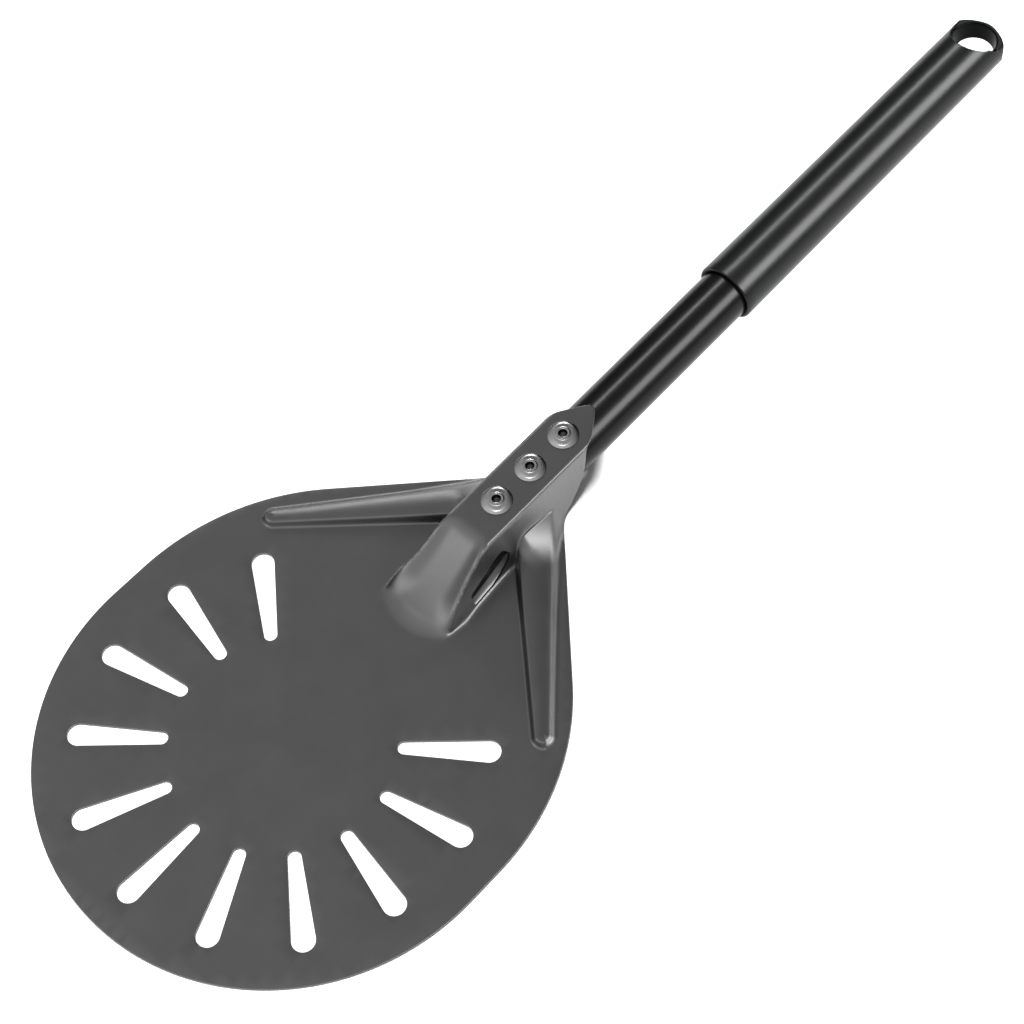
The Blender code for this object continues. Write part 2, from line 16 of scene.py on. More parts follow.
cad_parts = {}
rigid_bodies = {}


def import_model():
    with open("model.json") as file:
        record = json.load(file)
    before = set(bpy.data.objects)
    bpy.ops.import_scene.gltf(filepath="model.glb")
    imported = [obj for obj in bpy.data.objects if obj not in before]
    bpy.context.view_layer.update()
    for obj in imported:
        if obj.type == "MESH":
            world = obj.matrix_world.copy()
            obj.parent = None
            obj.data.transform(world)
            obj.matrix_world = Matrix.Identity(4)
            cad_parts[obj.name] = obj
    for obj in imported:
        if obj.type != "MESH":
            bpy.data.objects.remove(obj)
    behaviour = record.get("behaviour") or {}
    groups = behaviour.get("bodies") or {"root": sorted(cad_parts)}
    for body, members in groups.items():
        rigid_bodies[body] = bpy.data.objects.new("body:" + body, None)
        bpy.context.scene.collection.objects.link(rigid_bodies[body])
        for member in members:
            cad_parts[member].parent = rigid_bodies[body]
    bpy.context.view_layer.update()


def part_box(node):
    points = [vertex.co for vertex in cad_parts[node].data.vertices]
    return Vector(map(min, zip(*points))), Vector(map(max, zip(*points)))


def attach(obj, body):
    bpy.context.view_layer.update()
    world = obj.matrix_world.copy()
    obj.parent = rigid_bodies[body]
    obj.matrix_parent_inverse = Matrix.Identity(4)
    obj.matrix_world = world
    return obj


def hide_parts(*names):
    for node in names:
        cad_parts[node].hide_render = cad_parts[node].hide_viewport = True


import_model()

MM = 0.001

# ---- Blade sheet, in millimetres ---------------------------------------------------------------
SHEET = 1.2
BLADE_R = 115.0
BLADE_Y = 1.5
SIDE_Y = 20.0
SHOULDER_R = 123.6
NECK_TAIL = (  # (x, y) along the neck's right edge
    (26.2, 160.2), (20.2, 166.6), (17.6, 171.2), (16.6, 176.4), (15.3, 183.4), (14.2, 188.0),
    (12.8, 192.8), (11.4, 196.6), (9.8, 199.4), (4.8, 206.6), (1.8, 210.3), (0.0, 210.8),
)
SLOT_PLACES, SLOT_COUNT = 14, 11
SLOT_IN, SLOT_OUT, SLOT_NARROW_R, SLOT_WIDE_R = 52.3, 98.9, 3.1, 5.4
RIM_R = 0.35  # rounding of every pressed edge
RIM_STEPS = (0.0, 0.06, 0.17, 0.35)
TAIL_LEAD, TAIL_STEPS = 6, 4  # the neck's curve: run-in before its first point, steps per point

# ---- Handle axis -------------------------------------------------------------------------------
AXIS_Z = 10.15  # height over the origin
AXIS_SLOPE = 0.0275
TUBE_R = 13.2
CHANNEL_TOP = 14.7  # height of the channel's top above the axis
TUBE_WALL = 1.3
TUBE_EASE = 0.2  # bevel at the tube's ends
MITRE_MIDDLE, MITRE_SLOPE = 113.0, 1.288  # front end: its middle, and mm along per mm of height
MITRE_FADE = 0.08  # share of the tube over which the sections turn square to the axis
PRESS_Y = (116.0, 146.0)  # the tube is round behind the second place
PRESS_MIDDLE, PRESS_LEAN, PRESS_POWER = 14.5, 3.1, 6.0  # half width, its lean, corner sharpness
PRESS_HALF_HEIGHT, PRESS_SHIFT = 7.0, -5.7
TUBE_STATIONS = (0.0, 0.0007, *(i / 250 for i in range(1, 26)), 0.2, 0.5, 0.9993, 1.0)

# ---- Rivets ------------------------------------------------------------------------------------
RIVETS = (145.0, 167.8, 190.6)  # along the handle axis
RIVET_HOLE_R = 3.3
RIVET_SEAT = 0.05  # gap under the flange
HOLE_STEP = math.radians(10)

# ---- Scoop and channel -------------------------------------------------------------------------
RAMP_START, RAMP_POWER, RAMP_GAIN = 77.0, 1.34, 0.154
FRONT_Y, CORNER_Y, CORNER_X = 74.2, 87.3, 19.6
CORNER_FADE_Y = (84.0, 100.0)  # the front edge's curve fades out between these
BORDER_RISE = 2.9  # the ramp's borders stand this much above its trough
BORDER_IN, BORDER_OUT = 2.5, 3.0  # the rise starts inside the trough's edge, ends past the crease
BORDER_Y = (78.0, 101.0)
TOP_SOFTNESS = 3.0  # rounding where the ramp meets the flat top
CREASE = ((87.3, 91.5, 97.0, 107.0, 119.0, 126.0), (19.6, 19.0, 17.3, 14.8, 13.3, 12.9))
BASE = ((87.3, 98.0, 108.0, 125.0, 136.0, 150.0), (19.6, 21.5, 19.7, 17.9, 17.4, 17.6))
TROUGH = ((81.0, 89.0, 97.0, 106.0), (12.4, 10.7, 8.6, 8.5))
FLANK_FLARE = 0.68
FOLD_SOFTNESS, FOLD_REACH = 1.2, 4  # a Gaussian's width, and how many widths of it are used
SECTION_HALF, FRONT_POINTS, FOLD_POINTS = 30.0, 1201, 60
TABLE_DX, TABLE_DY = 0.05, 0.5
PAST_LAST = 1.001  # keeps a look-up inside the table's last cell
FLANK_FIRST = 200  # table column where the flank is searched from
OPENING = (  # (y, height above the blade) round the side opening
    (107.4, 1.5), (107.0, 4.0), (107.3, 6.6), (108.6, 7.6), (118.6, 10.2), (124.0, 11.8),
    (129.0, 13.8), (131.6, 13.9), (133.6, 11.6), (135.4, 8.2), (134.0, 5.6), (130.5, 3.6),
    (126.0, 1.9), (121.4, 1.2), (113.3, 1.2), (108.6, 1.2),
)

# ---- Ribs: s along a rib to its far end, w across it, outwards ---------------------------------
RIB_ALONG = (0.7345, -0.6786)
RIB_ACROSS = (0.6786, 0.7345)
RIB_INNER, RIB_INNER_CREST, RIB_CREST, RIB_OUTER = 110.9, 113.6, 120.5, 124.9
RIB_SPREAD = 0.1025
RIB_END_S, RIB_ROOT_S = 10.0, -98.0
RIB_LOW, RIB_HIGH, RIB_CLIMB = 3.0, 6.0, 1.3
ROOT_FLARE, ROOT_FLARE_S = 3.2, (-90.0, -50.0)
PEAK_SHARE = 0.22  # where the crown's peak lies between its two crests
DOME, DOME_CLIMB = 0.21, 0.06  # how fast the crown falls off its peak, far end and root
ROOT_LIMIT = 1.15  # the crown keeps rising this far past its root
FAN_RISE, FAN_REACH, FAN_Y = 6.5, 16.0, (136.5, 146.0, 168.0, 182.0)
FAN_INSET = 2.0
JOIN_SOFTNESS = 3.2

# ---- Spacing of the sheet's mesh ---------------------------------------------------------------
ARC_STEP, SLOT_STEP = math.radians(1.75), math.radians(9)
EDGE_STEP, SLOT_SIDE_STEP, OPENING_STEP = 4.0, 5.0, 0.9
CHANNEL_LEAD, CHANNEL_END, CHANNEL_ROW = 1.5, 211.0, 1.0
CHANNEL_STEP, CHANNEL_PAST = 0.85, 3.0
RIB_ROW, RIB_LEAD, RIB_MARGIN = 1.3, 12, 0.8
RIB_INNER_COUNT, RIB_COUNT, RIB_END_RINGS, RIB_END_SPOKES = 10, 9, 14, 25
RIB_INNER_PAST, RIB_TOP_START = 0.6, 1.2
FLAT_GRID = (-112.0, 165.0, 7.0)
FLAT_CLEAR_X, FLAT_CLEAR_Y, FLAT_LEVEL = 26, 70, 0.01
BASE_MARGIN = 3.3  # rib points start this far outside the channel's base
EDGE_GAP, OPENING_GAP = 0.6, 0.12
MERGE = 1e-4


def smoothstep(low, high, value):
    t = np.clip((value - low) / (high - low), 0.0, 1.0)
    return t * t * (3 - 2 * t)


def soft_min(a, b, k):
    return np.minimum(a, b) - np.maximum(k - np.abs(a - b), 0.0) ** 2 / (4 * k)


def soft_max(a, b, k):
    return -soft_min(-a, -b, k)


def flat_top(y):
    """Height of the channel's flat top above the blade."""
    return AXIS_Z + CHANNEL_TOP - SHEET + AXIS_SLOPE * y


def scoop_top(x, y):
    """Height of the scoop's and channel's upper face, before its creases."""
    inside = np.sqrt(np.clip(1 - (x / CORNER_X) ** 2, 0.0, 1.0))
    front = CORNER_Y - (CORNER_Y - FRONT_Y) * inside
    held_back = (front - FRONT_Y) * (1 - smoothstep(*CORNER_FADE_Y, y))
    ramp = RAMP_GAIN * np.maximum(0.0, y - held_back - RAMP_START) ** RAMP_POWER
    start = np.interp(y, *TROUGH) - BORDER_IN
    border = BORDER_RISE * smoothstep(start, np.interp(y, *CREASE) + BORDER_OUT, np.abs(x))
    border = border * smoothstep(*BORDER_Y, y)
    return soft_min(ramp + border, flat_top(y), TOP_SOFTNESS)


def section(y, spacing=0.1):
    """Half cross-section of the channel at y as a fold-softened (x, z) polyline."""
    crease = float(np.interp(y, *CREASE))
    base = float(np.interp(y, *BASE))
    if y <= CORNER_Y:
        x = np.linspace(-SECTION_HALF, SECTION_HALF, FRONT_POINTS)
        z = np.where(np.abs(x) < CORNER_X, scoop_top(np.clip(x, -CORNER_X, CORNER_X), y), 0.0)
    else:
        top_x = np.linspace(0.0, crease, FOLD_POINTS)
        top_z = scoop_top(top_x, y)
        down = np.linspace(0.0, 1.0, FOLD_POINTS)[1:]
        flare = (1 - FLANK_FLARE) * down + FLANK_FLARE * down**3
        x = np.concatenate([top_x, crease + (base - crease) * flare, [SECTION_HALF]])
        z = np.concatenate([top_z, top_z[-1] * (1 - down), [0.0]])
        x = np.concatenate([-x[:0:-1], x])
        z = np.concatenate([z[:0:-1], z])
    length = np.concatenate([[0.0], np.cumsum(np.hypot(np.diff(x), np.diff(z)))])
    even = np.arange(0.0, length[-1], spacing)
    x, z = np.interp(even, length, x), np.interp(even, length, z)
    reach = int(FOLD_REACH * FOLD_SOFTNESS / spacing)
    kernel = np.exp(-0.5 * (np.arange(-reach, reach + 1) * spacing / FOLD_SOFTNESS) ** 2)
    kernel /= kernel.sum()
    x = np.convolve(np.pad(x, reach, mode="edge"), kernel, "valid")
    z = np.convolve(np.pad(z, reach, mode="edge"), kernel, "valid")
    half = len(x) // 2
    return np.maximum.accumulate(x[half:] - x[half]), np.maximum(z[half:], 0.0)


TABLE_Y = np.arange(72.0, 213.0, TABLE_DY)
TABLE_X = np.arange(0.0, 26.0, TABLE_DX)
CHANNEL_TABLE = np.array([np.interp(TABLE_X, *section(y)) for y in TABLE_Y])


def channel_height(x, y):
    """Height of the scoop and channel, looked up between the table's sections."""
    column = np.clip(np.abs(x) / TABLE_DX, 0, len(TABLE_X) - PAST_LAST)
    row = np.clip((y - TABLE_Y[0]) / TABLE_DY, 0, len(TABLE_Y) - PAST_LAST)
    i, j = row.astype(int), column.astype(int)
    u, v = row - i, column - j
    low = CHANNEL_TABLE[i, j] * (1 - v) + CHANNEL_TABLE[i, j + 1] * v
    high = CHANNEL_TABLE[i + 1, j] * (1 - v) + CHANNEL_TABLE[i + 1, j + 1] * v
    return np.where(y > TABLE_Y[0], low * (1 - u) + high * u, 0.0)


def rib_lines(s):
    """w of a rib's outer crest and outer base at s."""
    spread = -RIB_SPREAD * np.minimum(s, RIB_END_S)
    outer = RIB_OUTER + spread + ROOT_FLARE * (1 - smoothstep(*ROOT_FLARE_S, s))
    return RIB_CREST + spread, outer


def rib_height(x, y):
    """Height of a rib, with the fan that spreads from its root to the channel."""
    x = np.abs(x)
    s = RIB_ALONG[0] * x + RIB_ALONG[1] * y
    w = RIB_ACROSS[0] * x + RIB_ACROSS[1] * y
    crest, outer = rib_lines(s)
    middle = (RIB_INNER + outer) / 2
    past = np.maximum(s - RIB_END_S, 0.0)
    folded = middle + np.copysign(np.hypot(past, w - middle), w - middle)
    w = np.where(past > 0, folded, w)
    share = np.clip((s - RIB_END_S) / (RIB_ROOT_S - RIB_END_S), 0.0, ROOT_LIMIT)
    crown = RIB_LOW + (RIB_HIGH - RIB_LOW) * share**RIB_CLIMB
    width = crest - RIB_INNER_CREST
    peak = RIB_INNER_CREST + PEAK_SHARE * width
    dome = crown - (DOME + DOME_CLIMB * share) / width * (w - peak) ** 2
    inner = smoothstep(RIB_INNER, RIB_INNER_CREST, w)
    outer_wall = 1 - smoothstep(crest, outer, w)
    gap = np.clip((x - np.interp(y, *BASE) + FAN_INSET) / FAN_REACH, 0.0, 1.0)
    fan = FAN_RISE * smoothstep(*FAN_Y[:2], y) * (1 - smoothstep(*FAN_Y[2:], y))
    return (np.maximum(dome, 0.0) + fan * (1 - gap) ** 2) * inner * outer_wall


def height(x, y):
    """Relief of the whole sheet, less what the soft join adds where both parts are flat."""
    channel, rib = channel_height(x, y), rib_height(x, y)
    flatness = np.clip(1 - np.maximum(channel, rib) / JOIN_SOFTNESS, 0, 1)
    return soft_max(channel, rib, JOIN_SOFTNESS) - JOIN_SOFTNESS / 4 * flatness


# ---- Plan outlines -----------------------------------------------------------------------------


def arc(cx, cy, radius, start, end, step=ARC_STEP):
    count = max(2, math.ceil(abs(end - start) / step))
    angles = np.linspace(start, end, count + 1)
    return np.stack([cx + radius * np.cos(angles), cy + radius * np.sin(angles)], 1)


def densify(points, longest):
    """The closed loop with every side cut into pieces no longer than that."""
    points = np.asarray(points, float)
    made = []
    for a, b in zip(points, np.roll(points, -1, 0)):
        count = max(1, math.ceil(np.linalg.norm(b - a) / longest))
        made += [a + (b - a) * i / count for i in range(count)]
    return np.array(made)


def smooth_tail():
    """The neck's edge as a Catmull-Rom curve through its points."""
    points = [Vector(p) for p in NECK_TAIL]
    shoulder = Vector((NECK_TAIL[0][0] + TAIL_LEAD, NECK_TAIL[0][1] - TAIL_LEAD))
    points = [shoulder] + points + [Vector((-points[-2].x, points[-2].y))]
    made = []
    for a, b, c, d in zip(points, points[1:], points[2:], points[3:]):
        for step in range(TAIL_STEPS):
            t = step / TAIL_STEPS
            made.append(
                0.5 * (2 * b + (c - a) * t + (2 * a - 5 * b + 4 * c - d) * t**2
                       + (3 * b - a - 3 * c + d) * t**3)
            )
    made.append(points[-2])
    return np.array([(p.x, p.y) for p in made])


def outline():
    front = arc(0, BLADE_Y, BLADE_R, -math.pi / 2, 0)
    shoulder = arc(BLADE_R - SHOULDER_R, SIDE_Y, SHOULDER_R, 0, math.pi / 4)
    tail = smooth_tail()
    right = np.concatenate([front, shoulder, tail])
    left = right[1:-1][::-1] * (-1, 1)
    return densify(np.concatenate([right, left]), EDGE_STEP)


def slot(angle):
    near, far = SLOT_IN + SLOT_NARROW_R, SLOT_OUT - SLOT_WIDE_R
    lean = math.acos((SLOT_NARROW_R - SLOT_WIDE_R) / (far - near))
    points = np.concatenate([
        arc(far, 0, SLOT_WIDE_R, -lean, lean, SLOT_STEP),
        arc(near, 0, SLOT_NARROW_R, lean, 2 * math.pi - lean, SLOT_STEP),
    ])
    turn = np.array([[math.cos(angle), -math.sin(angle)], [math.sin(angle), math.cos(angle)]])
    return densify(points @ turn.T, SLOT_SIDE_STEP)


def slots():
    pitch = 2 * math.pi / SLOT_PLACES
    middle = (SLOT_COUNT - 1) / 2
    return [slot(-math.pi / 2 + (i - middle) * pitch) for i in range(SLOT_COUNT)]


def rivet_holes():
    """The rivets' holes through the flat top of the channel, in plan."""
    tilt = math.atan(AXIS_SLOPE)
    loops = []
    for along in RIVETS:
        middle = along * math.cos(tilt) - CHANNEL_TOP * math.sin(tilt)
        loops.append(arc(0.0, middle, RIVET_HOLE_R, 0.0, 2 * math.pi - HOLE_STEP, HOLE_STEP))
    return loops


def opening(side):
    """The side opening's edge in plan, walked down the flank of the scoop."""
    points = []
    for y, z in densify(OPENING, OPENING_STEP):
        row = channel_height(TABLE_X, np.full_like(TABLE_X, y))
        x = np.interp(-z, -row[FLANK_FIRST:], TABLE_X[FLANK_FIRST:])
        points.append((side * x, y))
    points = np.array(points)
    return points if side > 0 else points[::-1]


def offset_loop(loop, distance):
    """The loop moved to its left by distance."""
    before, after = np.roll(loop, 1, 0), np.roll(loop, -1, 0)
    along = after - before
    along /= np.linalg.norm(along, axis=1)[:, None]
    return loop + np.stack([-along[:, 1], along[:, 0]], 1) * distance


def inside(points, loop):
    """True for each point inside the loop."""
    odd = np.zeros(len(points), bool)
    x, y = points[:, 0], points[:, 1]
    for (x0, y0), (x1, y1) in zip(loop, np.roll(loop, -1, 0)):
        if y0 == y1:
            continue
        crosses = (y0 > y) != (y1 > y)
        odd ^= crosses & (x < x0 + (y - y0) * (x1 - x0) / (y1 - y0))
    return odd


def clearance(points, loop):
    """Each point's distance to the loop."""
    nearest = np.full(len(points), np.inf)
    for a, b in zip(loop, np.roll(loop, -1, 0)):
        along = b - a
        share = np.clip(((points - a) @ along) / (along @ along), 0.0, 1.0)
        gap = points - a - share[:, None] * along
        nearest = np.minimum(nearest, np.hypot(gap[:, 0], gap[:, 1]))
    return nearest


# ---- Points that carry the relief --------------------------------------------------------------


def channel_points():
    made = []
    for y in np.arange(FRONT_Y - CHANNEL_LEAD, CHANNEL_END, CHANNEL_ROW):
        x, z = section(y)
        length = np.concatenate([[0.0], np.cumsum(np.hypot(np.diff(x), np.diff(z)))])
        stop = np.interp(float(np.interp(y, *BASE)) + CHANNEL_PAST, x, length)
        made += [(px, y) for px in np.interp(np.arange(0.0, stop, CHANNEL_STEP), length, x)]
    return np.array(made)


def rib_points():
    made = []
    inner = np.linspace(RIB_INNER - RIB_MARGIN, RIB_INNER_CREST + RIB_INNER_PAST, RIB_INNER_COUNT)
    for s in np.arange(RIB_ROOT_S - RIB_LEAD, RIB_END_S + 0.1, RIB_ROW):
        crest, outer = rib_lines(s)
        top = np.linspace(RIB_INNER_CREST + RIB_TOP_START, crest - RIB_MARGIN, RIB_COUNT)
        wall = np.linspace(crest, outer + RIB_MARGIN, RIB_COUNT)
        made += [(s, w) for w in np.concatenate([inner, top, wall])]
    crest, outer = rib_lines(RIB_END_S)
    middle = (RIB_INNER + outer) / 2
    widest = (outer - RIB_INNER) / 2 + RIB_MARGIN
    for radius in np.linspace(RIB_MARGIN, widest, RIB_END_RINGS):
        for angle in np.linspace(-math.pi / 2, math.pi / 2, RIB_END_SPOKES):
            made.append((RIB_END_S + radius * math.cos(angle), middle + radius * math.sin(angle)))
    s, w = np.array(made).T
    return np.stack(
        [RIB_ALONG[0] * s + RIB_ACROSS[0] * w, RIB_ALONG[1] * s + RIB_ACROSS[1] * w], 1
    )


def flat_points():
    grid = np.arange(*FLAT_GRID)
    x, y = np.meshgrid(grid, grid)
    return np.stack([x.ravel(), y.ravel()], 1)


def mirrored(points):
    other = points[np.abs(points[:, 0]) > 1e-6] * (-1, 1)
    return np.concatenate([points, other])


def plan():
    """Corners in plan, the triangles between them, and how far each corner drops at a rim."""
    edge = outline()
    holes = slots() + rivet_holes()
    openings = [opening(1), opening(-1)]
    loops = []
    for step in RIM_STEPS:
        drop = RIM_R - math.sqrt(max(0.0, RIM_R**2 - (RIM_R - step) ** 2))
        loops.append((offset_loop(edge, step), drop))
        loops += [(offset_loop(hole, -step), drop) for hole in holes]
    loops += [(loop, 0.0) for loop in openings]
    points = np.concatenate([loop for loop, _ in loops])
    drops = np.concatenate([np.full(len(loop), drop) for loop, drop in loops])
    constraints = []
    first = 0
    for loop, _ in loops:
        count = len(loop)
        constraints += [(first + i, first + (i + 1) % count) for i in range(count)]
        first += count

    channel = mirrored(channel_points())
    ribs = mirrored(rib_points())
    ribs = ribs[np.abs(ribs[:, 0]) > np.interp(ribs[:, 1], *BASE) + BASE_MARGIN]
    flats = flat_points()
    relief = np.maximum(
        channel_height(flats[:, 0], flats[:, 1]), rib_height(flats[:, 0], flats[:, 1])
    )
    near_channel = (np.abs(flats[:, 0]) < FLAT_CLEAR_X) & (flats[:, 1] > FLAT_CLEAR_Y)
    flats = flats[(relief < FLAT_LEVEL) & ~near_channel]
    spread = np.concatenate([channel, ribs, flats])
    keep = inside(spread, edge) & (clearance(spread, edge) > EDGE_GAP)
    for hole in holes:
        keep &= ~inside(spread, hole) & (clearance(spread, hole) > EDGE_GAP)
    for loop in openings:
        keep &= ~inside(spread, loop) & (clearance(spread, loop) > OPENING_GAP)
    spread = spread[keep]
    points = np.concatenate([points, spread])
    drops = np.concatenate([drops, np.zeros(len(spread))])

    found = delaunay_2d_cdt([Vector(p) for p in points], constraints, [], 0, MERGE)
    corners = np.array([(p.x, p.y) for p in found[0]])
    triangles = np.array(found[2])
    corner_drops = np.array([drops[origin[0]] if origin else 0.0 for origin in found[3]])
    middles = corners[triangles].mean(1)
    keep = inside(middles, edge)
    for hole in holes + openings:
        keep &= ~inside(middles, hole)
    return corners, triangles[keep], corner_drops


def surface_normals(x, y, step=0.04):
    """Unit normals of the relief, from differences over that step."""
    zx = (height(x + step, y) - height(x - step, y)) / (2 * step)
    zy = (height(x, y + step) - height(x, y - step)) / (2 * step)
    normal = np.stack([-zx, -zy, np.ones_like(zx)], 1)
    return normal / np.linalg.norm(normal, axis=1)[:, None]


def sheet_mesh():
    """Vertices and faces of the closed sheet: upper and lower skins, joined along every rim."""
    corners, triangles, drops = plan()
    used = np.unique(triangles)
    renumber = np.full(len(corners), -1)
    renumber[used] = np.arange(len(used))
    corners, drops, triangles = corners[used], drops[used], renumber[triangles]
    a, b, c = (corners[triangles[:, i]] for i in range(3))
    area = (b[:, 0] - a[:, 0]) * (c[:, 1] - a[:, 1]) - (b[:, 1] - a[:, 1]) * (c[:, 0] - a[:, 0])
    triangles[area < 0] = triangles[area < 0][:, ::-1]
    x, y = corners[:, 0], corners[:, 1]
    middle = np.stack([x, y, SHEET + height(x, y)], 1)
    normal = surface_normals(x, y)
    upper = middle - normal * drops[:, None]
    lower = middle - normal * (SHEET - drops)[:, None]
    count = len(corners)
    edges = np.concatenate([triangles[:, [0, 1]], triangles[:, [1, 2]], triangles[:, [2, 0]]])
    known = {(int(p), int(q)) for p, q in edges}
    rim = [(p, q) for p, q in known if (q, p) not in known]
    faces = [tuple(t) for t in triangles.tolist()]
    faces += [(t[2] + count, t[1] + count, t[0] + count) for t in triangles.tolist()]
    faces += [(p, p + count, q + count, q) for p, q in sorted(rim)]
    vertices = np.concatenate([upper, lower]) * MM
    return vertices, faces


# ---- Scene helpers -----------------------------------------------------------------------------


HANDLE = Matrix.Translation((0, 0, AXIS_Z * MM)) @ Matrix.Rotation(math.atan(AXIS_SLOPE), 4, "X")
ALONG_Y = Matrix.Rotation(-math.pi / 2, 4, "X")
SHEET_SHARP, TURNED_SHARP, GRIP_SHARP = math.radians(38), math.radians(40), math.radians(50)
ON_AXIS = 1e-7
EASE_STEPS, EASE_SHARE = 4, 0.45  # a corner is eased over no more than this share of its sides


def new_object(name, mesh):
    obj = bpy.data.objects.new(name, mesh)
    bpy.context.scene.collection.objects.link(obj)
    return obj


def shade(mesh, sharp):
    mesh.shade_smooth()
    mesh.set_sharp_from_angle(angle=sharp)


def to_mesh(made, name):
    mesh = bpy.data.meshes.new(name)
    made.to_mesh(mesh)
    made.free()
    return mesh


def finish_piece(obj, material, replaced):
    obj.data.materials.clear()
    obj.data.materials.append(material)
    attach(obj, "root")
    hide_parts(replaced)


def turned(name, profile, segments, closed=True):
    """(radius, height) points revolved about Z."""
    made = bmesh.new()
    rings = []
    for radius, z in profile:
        if radius < ON_AXIS:
            rings.append([made.verts.new((0, 0, z))])
            continue
        angles = [2 * math.pi * i / segments for i in range(segments)]
        rings.append(
            [made.verts.new((radius * math.cos(a), radius * math.sin(a), z)) for a in angles]
        )
    pairs = list(zip(rings, rings[1:]))
    if closed and len(rings[0]) > 1:
        pairs.append((rings[-1], rings[0]))
    for low, high in pairs:
        for i in range(segments):
            j = (i + 1) % segments
            near, far = (i % len(low), j % len(low)), (j % len(high), i % len(high))
            corners = [low[near[0]], low[near[1]], high[far[0]], high[far[1]]]
            corners = list(dict.fromkeys(corners))
            if len(corners) > 2:
                made.faces.new(corners)
    bmesh.ops.recalc_face_normals(made, faces=made.faces)
    mesh = to_mesh(made, name)
    shade(mesh, TURNED_SHARP)
    return new_object(name, mesh)


def rounded(profile, radius, closed=True):
    """A polyline of (r, z) points with each corner eased by up to radius."""
    points = [Vector(p) for p in profile]
    count = len(points)
    made = []
    for i, here in enumerate(points):
        if not closed and i in (0, count - 1) or here.x < ON_AXIS:
            made.append(here)
            continue
        before, after = points[i - 1] - here, points[(i + 1) % count] - here
        reach = min(radius, before.length * EASE_SHARE, after.length * EASE_SHARE)
        start, end = here + before.normalized() * reach, here + after.normalized() * reach
        for step in range(EASE_STEPS + 1):
            t = step / EASE_STEPS
            made.append(start * (1 - t) ** 2 + here * 2 * t * (1 - t) + end * t**2)
    return [(p.x, p.y) for p in made]


def close_strip(made, near, far):
    """Faces between two rings of vertices."""
    for i in range(len(near)):
        j = (i + 1) % len(near)
        made.faces.new((near[i], near[j], far[j], far[i]))


# ---- Materials ---------------------------------------------------------------------------------


NOISE_ROUGHNESS = 0.55
RAMP_FROM, RAMP_TO = 0.3, 0.7  # the middle of a noise's values
MATT_R, SKIN_R = 14.4, 14.9  # the grip is matt nearer the axis than this, satin farther out
MATT_LEVEL, SKIN_LEVEL = 0.03, 0.22
FLATTEN = 1e6  # leaves nothing of the distance along the axis


class Nodes:
    """A Principled material with short ways to add its texture nodes."""

    def __init__(self, name):
        self.material = bpy.data.materials.new(name)
        self.material.use_nodes = True
        self.tree = self.material.node_tree
        self.shader = self.tree.nodes["Principled BSDF"]
        self.coordinates = self.tree.nodes.new("ShaderNodeTexCoord").outputs["Object"]

    def set(self, **values):
        for name, value in values.items():
            self.shader.inputs[name.replace("_", " ")].default_value = value

    def add(self, kind, inputs=None, **settings):
        node = self.tree.nodes.new(kind)
        for name, value in settings.items():
            setattr(node, name, value)
        for name, value in (inputs or {}).items():
            if isinstance(value, bpy.types.NodeSocket):
                self.tree.links.new(value, node.inputs[name])
            else:
                node.inputs[name].default_value = value
        return node

    def stretched(self, scale):
        node = self.add("ShaderNodeMapping", {"Vector": self.coordinates, "Scale": scale})
        return node.outputs["Vector"]

    def noise(self, scale, detail):
        node = self.add(
            "ShaderNodeTexNoise",
            {"Vector": self.coordinates, "Scale": scale, "Detail": detail,
             "Roughness": NOISE_ROUGHNESS},
        )
        return node.outputs["Fac"]

    def ramp(self, factor, low, high):
        node = self.add("ShaderNodeValToRGB", {"Fac": factor})
        node.color_ramp.elements[0].position = RAMP_FROM
        node.color_ramp.elements[1].position = RAMP_TO
        node.color_ramp.elements[0].color = low
        node.color_ramp.elements[1].color = high
        return node.outputs["Color"]

    def spread(self, factor, low, high):
        node = self.add("ShaderNodeMapRange", {"Value": factor, "To Min": low, "To Max": high})
        return node.outputs["Result"]

    def bump(self, height_socket, strength, distance):
        inputs = {"Height": height_socket, "Strength": strength, "Distance": distance}
        return self.add("ShaderNodeBump", inputs).outputs["Normal"]

    def link(self, socket, name):
        self.tree.links.new(socket, self.shader.inputs[name])


def grey(value, green=0.0):
    return (value, value * (1 + green), value * (1 + green / 2), 1.0)


def anodised_metal():
    made = Nodes("anodised_blade")
    made.set(Metallic=1.0)
    cloud = made.noise(38.0, 4.0)
    grain = made.noise(2600.0, 2.0)
    made.link(made.ramp(cloud, grey(0.145), grey(0.160)), "Base Color")
    made.link(made.spread(made.noise(90.0, 5.0), 0.34, 0.41), "Roughness")
    made.link(made.bump(grain, 0.10, 0.00002), "Normal")
    return made.material


def black_tube():
    made = Nodes("satin_black_tube")
    made.set(Metallic=0.0, Specular_IOR_Level=0.16)
    made.link(made.ramp(made.noise(60.0, 3.0), grey(0.0008), grey(0.0014)), "Base Color")
    made.link(made.spread(made.noise(140.0, 4.0), 0.24, 0.29), "Roughness")
    made.link(made.bump(made.noise(1500.0, 2.0), 0.08, 0.00002), "Normal")
    return made.material


